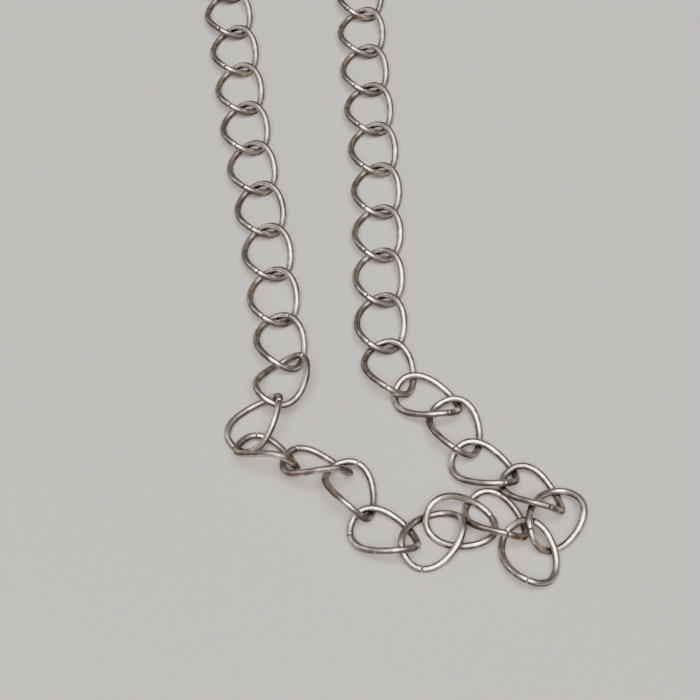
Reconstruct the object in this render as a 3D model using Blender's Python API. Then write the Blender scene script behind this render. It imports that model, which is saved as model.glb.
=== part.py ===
"""A heap of aluminum chain: about one metre of twisted oval links, lying loose on a level floor.

The run is open. It comes from the back, turns through a tangle of links at the front and goes back
again, so both of its free ends are at the back, at +Y. Every link is one piece of round wire, bent
to an oval, twisted a little at both ends so that neighbours lie flat on each other, and left
unwelded where its two cut ends meet.

The links of the tangle are placed one by one. The two strands follow smooth routes over the floor,
one link to each pitch.
"""

import math

import bpy
import numpy as np
from mathutils import Matrix, Vector

MM = 0.001

# One link
LINK_LENGTH = 24.0 * MM
LINK_WIDTH = 18.0 * MM
WIRE_DIAMETER = 2.2 * MM
END_TWIST = math.radians(30.0)
OVAL_POWER = 2.3
SEAM_GAP = 0.3 * MM
SEAM_ANGLE = math.radians(146.0)
WIRE_POINTS = 24
WIRE_SIDES = 6

# A straight run of links
PLAY = 0.7 * MM
PITCH = LINK_LENGTH - 2.0 * WIRE_DIAMETER - PLAY

# The tangle, from the end of the left strand to the end of the right one. Each row is a link's
# middle on the floor in mm (x, y), its heading, the rise of its leading end and the lean of its
# left side, in degrees. A link that lies turned over or end for end has its seam on its other side
# or at its other end. Every link touches the floor; the ones that lean rest on their neighbours.
TANGLE = (
    (-23.0, 0.5, -79, 4, -8),
    (-22.0, -15.5, -110, 10, 14),
    (-30.0, -31.0, -133, -18, 26),
    (-26.0, -43.5, -36, 17, -44),
    (-10.5, -48.0, -19, 9, -39),
    (0.5, -56.5, -73, 6, -28),
    (10.5, -71.5, -27, 4, 166),
    (25.5, -72.5, 45, 2, 178),
    (34.5, -67.0, 172, 7, 170),
    (45.5, -65.5, 130, -12, 18),
    (55.0, -78.0, 109, -1, -4),
    (63.5, -66.5, 56, -1, 16),
    (57.5, -57.0, 134, -7, 27),
    (42.5, -47.5, 147, -5, 13),
    (34.0, -33.0, 106, -3, 14),
    (25.0, -22.0, 152, -4, 12),
    (13.0, -10.0, 106, -5, 11),
)

# Where each strand goes after the tangle, in mm on the floor
LEFT_ROUTE = ((-27.5, 33), (-31.5, 58), (-37, 88), (-45, 145), (-56, 205), (-73, 265), (-98, 330))
RIGHT_ROUTE = ((10, 19), (9.5, 41), (9.5, 67), (7.5, 95), (4, 150), (6, 210), (18, 275), (41, 345))
LEFT_LINKS = 17
RIGHT_LINKS = 18

ALUMINIUM_COLOUR = (0.72, 0.69, 0.64, 1.0)
ALUMINIUM_ROUGHNESS = 0.32


def clear_scene():
    for thing in list(bpy.data.objects):
        bpy.data.objects.remove(thing, do_unlink=True)


def aluminium():
    """Bright drawn aluminium wire, dulled a little by handling."""
    material = bpy.data.materials.new("aluminium_wire")
    material.use_nodes = True
    shader = material.node_tree.nodes["Principled BSDF"]
    shader.inputs["Base Color"].default_value = ALUMINIUM_COLOUR
    shader.inputs["Metallic"].default_value = 1.0
    shader.inputs["Roughness"].default_value = ALUMINIUM_ROUGHNESS
    return material


def oval(angle):
    """A point on the middle line of the wire before it is twisted: length along x, width along y."""
    reach = (LINK_LENGTH - WIRE_DIAMETER) / 2.0
    spread = (LINK_WIDTH - WIRE_DIAMETER) / 2.0
    x = math.copysign(abs(math.cos(angle)) ** (2.0 / OVAL_POWER), math.cos(angle)) * reach
    y = math.copysign(abs(math.sin(angle)) ** (2.0 / OVAL_POWER), math.sin(angle)) * spread
    return x, y


def twisted(x, y):
    """The same point with the ends of the oval turned opposite ways about its long axis."""
    turn = -END_TWIST * x / ((LINK_LENGTH - WIRE_DIAMETER) / 2.0)
    return Vector((x, y * math.cos(turn), y * math.sin(turn)))


def wire_line(count, seam_gap):
    """Points at equal steps along the wire, from one side of the seam round to the other."""
    fine = [oval(SEAM_ANGLE + 2.0 * math.pi * k / 2000.0) for k in range(2001)]
    steps = [math.dist(a, b) for a, b in zip(fine, fine[1:])]
    run = np.concatenate(([0.0], np.cumsum(steps)))
    places = np.linspace(seam_gap / 2.0, run[-1] - seam_gap / 2.0, count + 1)
    xs = np.interp(places, run, [point[0] for point in fine])
    ys = np.interp(places, run, [point[1] for point in fine])
    return [twisted(x, y) for x, y in zip(xs, ys)]


def link_curve(material):
    """The bent wire that every link shares. Its flats keep the section's area that of round wire."""
    curve = bpy.data.curves.new("chain_link", "CURVE")
    curve.dimensions = "3D"
    section = WIRE_SIDES / 2.0 * math.sin(2.0 * math.pi / WIRE_SIDES)
    curve.bevel_depth = WIRE_DIAMETER / 2.0 * math.sqrt(math.pi / section)
    curve.bevel_resolution = WIRE_SIDES // 2 - 2
    curve.use_fill_caps = True
    points = wire_line(WIRE_POINTS, SEAM_GAP)
    spline = curve.splines.new("POLY")
    spline.points.add(len(points) - 1)
    for place, point in zip(spline.points, points):
        place.co = (*point, 1.0)
    spline.use_smooth = True
    curve.materials.append(material)
    return curve


def turned(heading, rise, lean):
    """The turn of a link: its long axis along the heading, then raised in front, then leaned."""
    degrees = math.radians
    aim = Matrix.Rotation(degrees(heading), 3, "Z")
    pitch = Matrix.Rotation(-degrees(rise), 3, "Y")
    roll = Matrix.Rotation(degrees(lean), 3, "X")
    return aim @ pitch @ roll


def resting_height(turn):
    """How high a link's middle is when its lowest wire touches the floor."""
    lowest = min((turn @ point).z for point in wire_line(96, 0.0))
    return WIRE_DIAMETER / 2.0 - lowest


def pose(x, y, heading, rise, lean):
    turn = turned(heading, rise, lean)
    return Vector((x * MM, y * MM, resting_height(turn))), turn


def smooth_route(points):
    """A curve through the points (Catmull-Rom), as many short steps."""
    ends = [2.0 * points[0] - points[1], *points, 2.0 * points[-1] - points[-2]]
    line = []
    for a, b, c, d in zip(ends, ends[1:], ends[2:], ends[3:]):
        for t in np.linspace(0.0, 1.0, 200, endpoint=False):
            line.append(
                0.5 * (2.0 * b + (c - a) * t + (2.0 * a - 5.0 * b + 4.0 * c - d) * t**2
                       + (3.0 * b - a - 3.0 * c + d) * t**3)
            )
    line.append(points[-1])
    return line


def strand(last, away, route, count):
    """Links that go on from the last link of the tangle, each one pitch further along the route."""
    middle, turn = last
    joint = middle + turn @ Vector((away * PITCH / 2.0, 0.0, 0.0))
    joint.z = 0.0
    line = smooth_route([joint] + [Vector((x * MM, y * MM, 0.0)) for x, y in route])
    poses = []
    for point in line:
        if (point - joint).length >= PITCH and len(poses) < count:
            heading = math.degrees(math.atan2(point.y - joint.y, point.x - joint.x))
            centre = (point + joint) / 2.0 / MM
            poses.append(pose(centre.x, centre.y, heading, 0.0, 0.0))
            joint = point
    return poses


def place_links(curve, poses, collection):
    links = []
    for number, (middle, turn) in enumerate(poses, start=1):
        link = bpy.data.objects.new(f"link_{number:02d}", curve)
        link.location = middle
        link.rotation_euler = turn.to_euler()
        collection.objects.link(link)
        links.append(link)
    return links


def centre_on_floor(links):
    """Move the whole heap so that the middle of its plan is at the origin."""
    bpy.context.view_layer.update()
    graph = bpy.context.evaluated_depsgraph_get()
    corners = []
    for link in links:
        mesh = link.evaluated_get(graph).to_mesh()
        corners += [link.matrix_world @ vertex.co for vertex in mesh.vertices]
        link.evaluated_get(graph).to_mesh_clear()
    low = Vector((min(corner[axis] for corner in corners) for axis in range(3)))
    high = Vector((max(corner[axis] for corner in corners) for axis in range(3)))
    shift = Vector(((low.x + high.x) / 2.0, (low.y + high.y) / 2.0, low.z))
    for link in links:
        link.location -= shift


clear_scene()
heap = bpy.data.collections.new("heap_of_aluminum_chain")
bpy.context.scene.collection.children.link(heap)
tangle = [pose(*row) for row in TANGLE]
left = strand(tangle[0], -1.0, LEFT_ROUTE, LEFT_LINKS)
right = strand(tangle[-1], 1.0, RIGHT_ROUTE, RIGHT_LINKS)
run_of_links = left[::-1] + tangle + right
centre_on_floor(place_links(link_curve(aluminium()), run_of_links, heap))
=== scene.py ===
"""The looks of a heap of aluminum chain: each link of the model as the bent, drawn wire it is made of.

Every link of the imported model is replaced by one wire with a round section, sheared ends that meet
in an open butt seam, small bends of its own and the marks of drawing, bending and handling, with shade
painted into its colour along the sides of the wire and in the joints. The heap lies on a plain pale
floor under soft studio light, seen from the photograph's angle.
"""

import math

import bpy
import numpy as np
from mathutils import Matrix, Vector


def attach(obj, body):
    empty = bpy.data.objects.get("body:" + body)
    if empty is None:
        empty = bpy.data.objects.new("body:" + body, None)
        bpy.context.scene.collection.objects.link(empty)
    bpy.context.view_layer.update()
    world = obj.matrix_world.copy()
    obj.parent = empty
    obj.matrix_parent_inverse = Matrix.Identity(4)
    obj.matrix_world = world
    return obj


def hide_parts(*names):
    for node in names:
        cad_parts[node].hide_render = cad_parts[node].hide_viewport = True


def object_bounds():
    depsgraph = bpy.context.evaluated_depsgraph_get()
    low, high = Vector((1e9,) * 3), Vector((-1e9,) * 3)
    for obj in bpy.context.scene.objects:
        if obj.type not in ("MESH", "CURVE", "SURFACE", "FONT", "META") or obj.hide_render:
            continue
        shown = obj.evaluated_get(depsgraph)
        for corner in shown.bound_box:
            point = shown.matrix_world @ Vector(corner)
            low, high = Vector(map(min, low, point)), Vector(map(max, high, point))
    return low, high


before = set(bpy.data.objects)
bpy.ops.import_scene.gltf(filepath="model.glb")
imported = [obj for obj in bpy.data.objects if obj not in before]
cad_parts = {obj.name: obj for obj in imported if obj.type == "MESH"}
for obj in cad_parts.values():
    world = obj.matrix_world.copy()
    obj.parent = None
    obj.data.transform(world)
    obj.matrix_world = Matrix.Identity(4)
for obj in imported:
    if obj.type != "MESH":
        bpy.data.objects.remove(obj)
cad_box = [list(corner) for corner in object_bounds()]

MM = 0.001


# Camera
# The photograph looks down on the tangle from the front with a long lens, so that the two
# strands run away from it and out over the picture's top edge.
VIEW_CENTRE = Vector((14.0 * MM, -125.2 * MM, 0.0))
VIEW_ELEVATION = math.radians(56.0)
VIEW_DISTANCE = 600.0 * MM
IMAGE_WIDTH = 700.0
FOCAL_PIXELS = 1800.0

camera_data = bpy.data.cameras.new("photo_camera")
camera_data.sensor_width = 36.0
camera_data.lens = camera_data.sensor_width * FOCAL_PIXELS / IMAGE_WIDTH
camera_data.clip_start = 0.01
camera_data.clip_end = 20.0
camera = bpy.data.objects.new("photo_camera", camera_data)
bpy.context.scene.collection.objects.link(camera)
away = Vector((0.0, -math.cos(VIEW_ELEVATION), math.sin(VIEW_ELEVATION)))
camera.location = VIEW_CENTRE + away * VIEW_DISTANCE
camera.rotation_euler = (math.pi / 2.0 - VIEW_ELEVATION, 0.0, 0.0)
bpy.context.scene.camera = camera


# Link wire
# Each link is one piece of drawn aluminium wire. It is wound to an oval, twisted at both ends so
# that its neighbours lie flat in it, and its two sheared ends are left butted and unwelded.
LINK_LENGTH = 24.0 * MM
LINK_WIDTH = 18.0 * MM
WIRE_RADIUS = 1.1 * MM
END_TWIST = math.radians(30.0)
OVAL_POWER = 2.3
SEAM_ANGLE = math.radians(146.0)
SEAM_GAP = 0.3 * MM
RINGS = 172
SIDES = 16
END_ROUNDING = ((0.0, 0.80), (0.06 * MM, 0.93), (0.20 * MM, 1.0))
SHEAR_TILT = math.radians(9.0)
SIDE_SWAY = 0.10 * MM
FLATTENING = 0.035


def oval(angle):
    """Points on the middle line of the wire before it is twisted."""
    cosine = np.cos(angle)
    sine = np.sin(angle)
    reach = LINK_LENGTH / 2.0 - WIRE_RADIUS
    spread = LINK_WIDTH / 2.0 - WIRE_RADIUS
    x = np.sign(cosine) * np.abs(cosine) ** (2.0 / OVAL_POWER) * reach
    y = np.sign(sine) * np.abs(sine) ** (2.0 / OVAL_POWER) * spread
    return x, y


def twisted(x, y, z=0.0):
    """The same points with the ends of the oval turned opposite ways about its long axis."""
    turn = -END_TWIST * x / (LINK_LENGTH / 2.0 - WIRE_RADIUS)
    return np.stack(
        (x, y * np.cos(turn) - z * np.sin(turn), y * np.sin(turn) + z * np.cos(turn)), axis=-1
    )


def wire_places(gap):
    """Distances along the wire for its rings: close together at the sheared ends, even between."""
    angles = SEAM_ANGLE + np.linspace(0.0, 2.0 * np.pi, 4001)
    x, y = oval(angles)
    run = np.concatenate(([0.0], np.cumsum(np.hypot(np.diff(x), np.diff(y)))))
    first = gap / 2.0
    last = run[-1] - gap / 2.0
    inner = END_ROUNDING[-1][0]
    places = np.linspace(first + inner, last - inner, RINGS)
    heads = [first + step for step, share in END_ROUNDING[:-1]]
    tails = [last - step for step, share in END_ROUNDING[:-1]][::-1]
    places = np.concatenate((heads, places, tails))
    return places, np.interp(places, run, x), np.interp(places, run, y), run[-1]


def wire_mesh(name, random):
    """One link's wire, about its own middle, with its long side along X."""
    places, x, y, whole = wire_places(SEAM_GAP)
    share = places / whole
    sway = np.zeros_like(share)
    rise = np.zeros_like(share)
    for waves in (2, 3, 5):
        sway += random.uniform(-1.0, 1.0) * np.sin(2.0 * np.pi * (waves * share + random.uniform()))
        rise += random.uniform(-1.0, 1.0) * np.sin(2.0 * np.pi * (waves * share + random.uniform()))
    slack = (1.0 - (x / (LINK_LENGTH / 2.0)) ** 2) * SIDE_SWAY / waves
    line = twisted(x, y + sway * slack, rise * slack)
    along = np.gradient(line, places, axis=0)
    along /= np.linalg.norm(along, axis=1)[:, None]
    outward = twisted(x, y) - np.stack((x * 0.6, 0.0 * x, 0.0 * x), axis=-1)
    outward -= along * np.sum(outward * along, axis=1)[:, None]
    outward /= np.linalg.norm(outward, axis=1)[:, None]
    across = np.cross(along, outward)
    bend = np.clip((np.abs(x) - 0.55 * LINK_LENGTH / 2.0) / (0.35 * LINK_LENGTH / 2.0), 0.0, 1.0)
    shares = [share for step, share in END_ROUNDING[:-1]]
    size = np.concatenate((shares, np.ones(RINGS), shares[::-1])) * WIRE_RADIUS
    around = np.linspace(0.0, 2.0 * np.pi, SIDES, endpoint=False)
    wide = size * (1.0 - FLATTENING * bend)
    tall = size * (1.0 + FLATTENING * bend)
    vertices = (
        line[:, None, :]
        + outward[:, None, :] * (wide[:, None] * np.cos(around))[:, :, None]
        + across[:, None, :] * (tall[:, None] * np.sin(around))[:, :, None]
    )
    tilt = math.tan(SHEAR_TILT) * random.uniform(0.5, 1.0)
    for ring in range(len(END_ROUNDING)):
        lean = tilt * (1.0 - ring / (len(END_ROUNDING) - 1.0))
        vertices[ring] += along[ring] * (WIRE_RADIUS * np.sin(around) * lean)[:, None]
        vertices[-1 - ring] += along[-1 - ring] * (WIRE_RADIUS * np.sin(around) * lean)[:, None]
    rings = len(places)
    grid = np.arange(rings * SIDES).reshape(rings, SIDES)
    turned = np.roll(grid, -1, axis=1)
    walls = np.stack((grid[:-1], turned[:-1], turned[1:], grid[1:]), axis=-1).reshape(-1, 4)
    faces = [tuple(int(corner) for corner in wall) for wall in walls]
    faces.append(tuple(int(corner) for corner in grid[0][::-1]))
    faces.append(tuple(int(corner) for corner in grid[-1]))
    mesh = bpy.data.meshes.new(name)
    mesh.from_pydata([tuple(vertex) for vertex in vertices.reshape(-1, 3)], [], faces)
    mesh.polygons.foreach_set("use_smooth", [True] * (len(faces) - 2) + [False] * 2)
    mesh.polygons[len(faces) - 2].material_index = 1
    mesh.polygons[len(faces) - 1].material_index = 1
    flat = np.stack(
        (
            np.repeat(places, SIDES),
            np.tile(np.cos(around) * WIRE_RADIUS, rings),
            np.tile(np.sin(around) * WIRE_RADIUS, rings),
        ),
        axis=-1,
    )
    attribute = mesh.attributes.new("wire_place", "FLOAT_VECTOR", "POINT")
    attribute.data.foreach_set("vector", flat.ravel())
    mesh.update()
    return mesh, line


def corners_of(mesh):
    points = np.zeros(len(mesh.vertices) * 3)
    mesh.vertices.foreach_get("co", points)
    return points.reshape(-1, 3)


def solid_frame(mesh):
    """The middle of a closed mesh's volume and its three main axes, the longest first."""
    points = corners_of(mesh)
    start = points.mean(axis=0)
    mesh.calc_loop_triangles()
    corners = np.zeros(len(mesh.loop_triangles) * 3, dtype=np.int32)
    mesh.loop_triangles.foreach_get("vertices", corners)
    triangles = (points - start)[corners].reshape(-1, 3, 3)
    weights = np.linalg.det(triangles) / 6.0
    middle = (weights[:, None] * triangles.sum(axis=1) / 4.0).sum(axis=0) / weights.sum()
    triangles -= middle
    weights = np.linalg.det(triangles) / 6.0
    total = triangles.sum(axis=1)
    spread = np.einsum("n,ni,nj->ij", weights / 20.0, total, total)
    spread += np.einsum("n,nki,nkj->ij", weights / 20.0, triangles, triangles)
    values, axes = np.linalg.eigh(spread)
    axes = axes[:, ::-1]
    axes[:, 2] = np.cross(axes[:, 0], axes[:, 1])
    return start + middle, axes


def place_in(node, own_frame, own_line):
    """The turn and place that lay a link's wire in the node of the model that it stands for."""
    middle, axes = solid_frame(node.data)
    own_middle, own_axes = own_frame
    walls = corners_of(node.data)
    best = None
    for long_sign, wide_sign in ((1, 1), (1, -1), (-1, 1), (-1, -1)):
        flip = np.diag((long_sign, wide_sign, long_sign * wide_sign))
        turn = axes @ flip @ own_axes.T
        line = (own_line - own_middle) @ turn.T + middle
        reach = np.linalg.norm(line[::4, None, :] - walls[None, :, :], axis=2).min(axis=1)
        miss = reach.std() + abs(reach[:2].mean() - reach[-2:].mean())
        if best is None or miss < best[0]:
            best = (miss, turn)
    matrix = Matrix(best[1].tolist()).to_4x4()
    matrix.translation = Vector((middle - best[1] @ own_middle).tolist())
    return matrix


# Joints between the links
# Where two wires rest in each other their colour is darkened towards near black: painted shade in
# the joints. Each point of a wire keeps how close it lies to another link's wire.
JOINT_SHADE_REACH = 3.2 * MM


def joint_shade_near(points, other_lines):
    """1 where a point touches another wire, falling to 0 at the reach of the painted joint shade."""
    closest = np.full(len(points), 1.0)
    for line in other_lines:
        for start in range(0, len(line), 43):
            part = line[start:start + 43]
            closest = np.minimum(
                closest, np.linalg.norm(points[:, None, :] - part[None, :, :], axis=2).min(axis=1)
            )
    return np.clip(1.0 - (closest - WIRE_RADIUS) / JOINT_SHADE_REACH, 0.0, 1.0)


# Aluminium
# The wire is drawn aluminium with a satin surface: fine lines along it from the die, small nicks and
# random patches of dull film. Its colour is also darkened on the inner and outer sides of the wire and
# kept bright on the faces of the links, partly the wear of handling and partly painted shade on the
# sides with a painted highlight along the faces, and darkened to near black in the joints as painted
# shade.
ALUMINIUM_BRIGHT = (0.70, 0.642, 0.578, 1.0)
# The dull colour serves both the real dull film and the painted shade on the sides of the wire.
ALUMINIUM_DULL_AND_SHADE = (0.155, 0.125, 0.108, 1.0)
# Near-black colour painted where another wire lies close: painted shade in the joints.
JOINT_SHADE_COLOUR = (0.022, 0.015, 0.012, 1.0)
EDGE_TINT = (0.28, 0.21, 0.19, 1.0)
SHEARED_COLOUR = (0.74, 0.72, 0.69, 1.0)


def add_node(tree, kind, **inputs):
    node = tree.nodes.new(kind)
    for name, value in inputs.items():
        node.inputs[name.replace("_", " ")].default_value = value
    return node


def rubbed_surface():
    """Where the metal has gone dull, and the nicks and rub marks in it, as seen anywhere on a wire."""
    group = bpy.data.node_groups.new("rubbed surface", "ShaderNodeTree")
    group.interface.new_socket("Place", in_out="INPUT", socket_type="NodeSocketVector")
    group.interface.new_socket("Dullness", in_out="OUTPUT", socket_type="NodeSocketFloat")
    group.interface.new_socket("Nicks", in_out="OUTPUT", socket_type="NodeSocketFloat")
    inputs = group.nodes.new("NodeGroupInput")
    outputs = group.nodes.new("NodeGroupOutput")
    cloud = add_node(group, "ShaderNodeTexNoise", Scale=260.0, Detail=5.0, Roughness=0.62)
    spread = add_node(group, "ShaderNodeMapRange", From_Min=0.36, From_Max=0.66)
    nick = add_node(group, "ShaderNodeTexVoronoi", Scale=1500.0, Randomness=1.0)
    depth = add_node(group, "ShaderNodeMapRange", From_Min=0.05, From_Max=0.42)
    links = group.links
    links.new(inputs.outputs["Place"], cloud.inputs["Vector"])
    links.new(inputs.outputs["Place"], nick.inputs["Vector"])
    links.new(cloud.outputs["Fac"], spread.inputs["Value"])
    links.new(nick.outputs["Distance"], depth.inputs["Value"])
    links.new(spread.outputs["Result"], outputs.inputs["Dullness"])
    links.new(depth.outputs["Result"], outputs.inputs["Nicks"])
    return group


def link_place(tree):
    """A place on the link that differs from one link to the next, so that no two carry like marks."""
    place = tree.nodes.new("ShaderNodeTexCoord")
    seed = tree.nodes.new("ShaderNodeAttribute")
    seed.attribute_name = "link_seed"
    shifted = tree.nodes.new("ShaderNodeVectorMath")
    shifted.operation = "ADD"
    tree.links.new(place.outputs["Object"], shifted.inputs[0])
    tree.links.new(seed.outputs["Vector"], shifted.inputs[1])
    return shifted.outputs["Vector"]


def drawn_wire(rubbed):
    material = bpy.data.materials.new("drawn_aluminium_wire")
    material.use_nodes = True
    tree = material.node_tree
    shader = tree.nodes["Principled BSDF"]
    links = tree.links
    place = link_place(tree)
    marks = tree.nodes.new("ShaderNodeGroup")
    marks.node_tree = rubbed
    links.new(place, marks.inputs["Place"])

    wire = tree.nodes.new("ShaderNodeAttribute")
    wire.attribute_name = "wire_place"
    stretch = tree.nodes.new("ShaderNodeMapping")
    stretch.inputs["Scale"].default_value = (60.0, 7000.0, 7000.0)
    lines = add_node(tree, "ShaderNodeTexNoise", Scale=1.0, Detail=3.0, Roughness=0.6)
    links.new(wire.outputs["Vector"], stretch.inputs["Vector"])
    links.new(stretch.outputs["Vector"], lines.inputs["Vector"])

    # Painted shade in the joints, made patchy with noise; it also raises the roughness there.
    joint_shade = tree.nodes.new("ShaderNodeAttribute")
    joint_shade.attribute_name = "joint_shade"
    uneven = add_node(tree, "ShaderNodeTexNoise", Scale=900.0, Detail=4.0, Roughness=0.7)
    patchy = tree.nodes.new("ShaderNodeMath")
    patchy.operation = "MULTIPLY_ADD"
    patchy.inputs[1].default_value = 0.9
    patchy.inputs[2].default_value = -0.45
    joint_shade_sum = tree.nodes.new("ShaderNodeMath")
    joint_shade_sum.operation = "ADD"
    joint_shading = add_node(tree, "ShaderNodeMapRange", From_Min=0.38, From_Max=0.82)
    links.new(place, uneven.inputs["Vector"])
    links.new(uneven.outputs["Fac"], patchy.inputs[0])
    links.new(joint_shade.outputs["Fac"], joint_shade_sum.inputs[0])
    links.new(patchy.outputs["Value"], joint_shade_sum.inputs[1])
    links.new(joint_shade_sum.outputs["Value"], joint_shading.inputs["Value"])

    # Sides of the wire darkened, faces kept bright: part rubbed wear, part painted shade and
    # highlight.
    parts = tree.nodes.new("ShaderNodeSeparateXYZ")
    height = tree.nodes.new("ShaderNodeMath")
    height.operation = "ABSOLUTE"
    painted_side_shade = add_node(
        tree, "ShaderNodeMapRange", From_Min=0.10 * WIRE_RADIUS, From_Max=0.75 * WIRE_RADIUS,
        To_Min=0.75, To_Max=-0.20,
    )
    dull_film_and_side_shade = tree.nodes.new("ShaderNodeMath")
    dull_film_and_side_shade.operation = "ADD"
    dull_film_and_side_shade.use_clamp = True
    links.new(wire.outputs["Vector"], parts.inputs["Vector"])
    links.new(parts.outputs["Z"], height.inputs[0])
    links.new(height.outputs["Value"], painted_side_shade.inputs["Value"])
    links.new(painted_side_shade.outputs["Result"], dull_film_and_side_shade.inputs[0])
    links.new(marks.outputs["Dullness"], dull_film_and_side_shade.inputs[1])

    metal = tree.nodes.new("ShaderNodeMix")
    metal.data_type = "RGBA"
    metal.inputs["A"].default_value = ALUMINIUM_BRIGHT
    metal.inputs["B"].default_value = ALUMINIUM_DULL_AND_SHADE
    shaded_metal = tree.nodes.new("ShaderNodeMix")
    shaded_metal.data_type = "RGBA"
    shaded_metal.inputs["B"].default_value = JOINT_SHADE_COLOUR
    links.new(dull_film_and_side_shade.outputs["Value"], metal.inputs["Factor"])
    links.new(metal.outputs["Result"], shaded_metal.inputs["A"])
    links.new(joint_shading.outputs["Result"], shaded_metal.inputs["Factor"])
    links.new(shaded_metal.outputs["Result"], shader.inputs["Base Color"])

    satin = add_node(tree, "ShaderNodeMapRange", To_Min=0.30, To_Max=0.46)
    rough = tree.nodes.new("ShaderNodeMix")
    rough.inputs["B"].default_value = 0.62
    links.new(dull_film_and_side_shade.outputs["Value"], satin.inputs["Value"])
    links.new(satin.outputs["Result"], rough.inputs["A"])
    links.new(joint_shading.outputs["Result"], rough.inputs["Factor"])
    links.new(rough.outputs["Result"], shader.inputs["Roughness"])
    shader.inputs["Metallic"].default_value = 1.0
    shader.inputs["Specular Tint"].default_value = EDGE_TINT

    draw_bump = add_node(tree, "ShaderNodeBump", Strength=0.20, Distance=0.00006)
    nick_bump = add_node(tree, "ShaderNodeBump", Strength=0.25, Distance=0.00008)
    links.new(lines.outputs["Fac"], draw_bump.inputs["Height"])
    links.new(marks.outputs["Nicks"], nick_bump.inputs["Height"])
    links.new(draw_bump.outputs["Normal"], nick_bump.inputs["Normal"])
    links.new(nick_bump.outputs["Normal"], shader.inputs["Normal"])
    return material


def sheared_end(rubbed):
    """The cut through the wire: torn bright metal with the lines of the blade across it."""
    material = bpy.data.materials.new("sheared_wire_end")
    material.use_nodes = True
    tree = material.node_tree
    shader = tree.nodes["Principled BSDF"]
    links = tree.links
    place = link_place(tree)
    marks = tree.nodes.new("ShaderNodeGroup")
    marks.node_tree = rubbed
    torn = add_node(tree, "ShaderNodeTexNoise", Scale=4000.0, Detail=3.0, Roughness=0.6)
    metal = tree.nodes.new("ShaderNodeMix")
    metal.data_type = "RGBA"
    metal.inputs["A"].default_value = SHEARED_COLOUR
    metal.inputs["B"].default_value = ALUMINIUM_DULL_AND_SHADE
    bump = add_node(tree, "ShaderNodeBump", Strength=0.6, Distance=0.00012)
    links.new(place, marks.inputs["Place"])
    links.new(place, torn.inputs["Vector"])
    links.new(marks.outputs["Dullness"], metal.inputs["Factor"])
    links.new(metal.outputs["Result"], shader.inputs["Base Color"])
    links.new(torn.outputs["Fac"], bump.inputs["Height"])
    links.new(bump.outputs["Normal"], shader.inputs["Normal"])
    shader.inputs["Metallic"].default_value = 1.0
    shader.inputs["Roughness"].default_value = 0.48
    return material


rubbed_marks = rubbed_surface()
wire_material = drawn_wire(rubbed_marks)
end_material = sheared_end(rubbed_marks)


# The run of links
# Every node of the model is one link, and the wire that replaces it lies where the node does.
link_nodes = sorted(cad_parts)
wires = []
lines = []
for number, node_name in enumerate(link_nodes):
    random = np.random.RandomState(100 + number)
    mesh, line = wire_mesh("wire_" + node_name, random)
    matrix = place_in(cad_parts[node_name], solid_frame(mesh), line)
    mesh.transform(matrix)
    wire = bpy.data.objects.new("wire_" + node_name, mesh)
    bpy.context.scene.collection.objects.link(wire)
    mesh.materials.append(wire_material)
    mesh.materials.append(end_material)
    seed = np.tile(random.uniform(-1.0, 1.0, 3), len(mesh.vertices))
    mesh.attributes.new("link_seed", "FLOAT_VECTOR", "POINT").data.foreach_set("vector", seed)
    lines.append(line @ np.array(matrix.to_3x3()).T + np.array(matrix.translation))
    wires.append(wire)
    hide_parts(node_name)
    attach(wire, "root")

# Each wire keeps how close it lies to its neighbours, for the painted shade in the joints.
for number, wire in enumerate(wires):
    points = corners_of(wire.data)
    middle = points.mean(axis=0)
    near = [
        line
        for other, line in enumerate(lines)
        if other != number and np.linalg.norm(line.mean(axis=0) - middle) < LINK_LENGTH * 1.5
    ]
    joint_shade = joint_shade_near(points, near)
    wire.data.attributes.new("joint_shade", "FLOAT", "POINT").data.foreach_set("value", joint_shade)


# Floor and light
# A plain pale table top under a wide soft light above the front of the heap, with a weak fill from
# the left and a faint even light all round.
FLOOR_COLOUR = (0.30, 0.288, 0.280, 1.0)

bpy.ops.mesh.primitive_plane_add(size=24.0, location=(0.0, 0.0, cad_box[0][2]))
floor = bpy.context.active_object
floor.name = "floor"
floor_material = bpy.data.materials.new("plain_floor")
floor_material.use_nodes = True
floor_shader = floor_material.node_tree.nodes["Principled BSDF"]
floor_shader.inputs["Base Color"].default_value = FLOOR_COLOUR
floor_shader.inputs["Roughness"].default_value = 0.9
floor_shader.inputs["Specular IOR Level"].default_value = 0.2
floor.data.materials.append(floor_material)


def soft_light(name, place, aim, size, power, colour):
    light = bpy.data.lights.new(name, "AREA")
    light.shape = "RECTANGLE"
    light.size = size[0]
    light.size_y = size[1]
    light.energy = power
    light.color = colour
    holder = bpy.data.objects.new(name, light)
    holder.location = place
    holder.rotation_euler = (Vector(aim) - Vector(place)).to_track_quat("-Z", "Y").to_euler()
    bpy.context.scene.collection.objects.link(holder)


soft_light("key", (0.02, -2.4, 5.75), (0.02, -0.1, 0.0), (5.0, 5.0), 1400.0, (1.0, 0.97, 0.93))
soft_light("side_fill", (-1.2, 0.3, 0.7), (0.0, -0.1, 0.0), (0.5, 0.5), 3.0, (1.0, 0.95, 0.93))
world = bpy.data.worlds.new("studio")
world.use_nodes = True
world.node_tree.nodes["Background"].inputs["Color"].default_value = (0.95, 0.90, 0.88, 1.0)
world.node_tree.nodes["Background"].inputs["Strength"].default_value = 0.10
bpy.context.scene.world = world
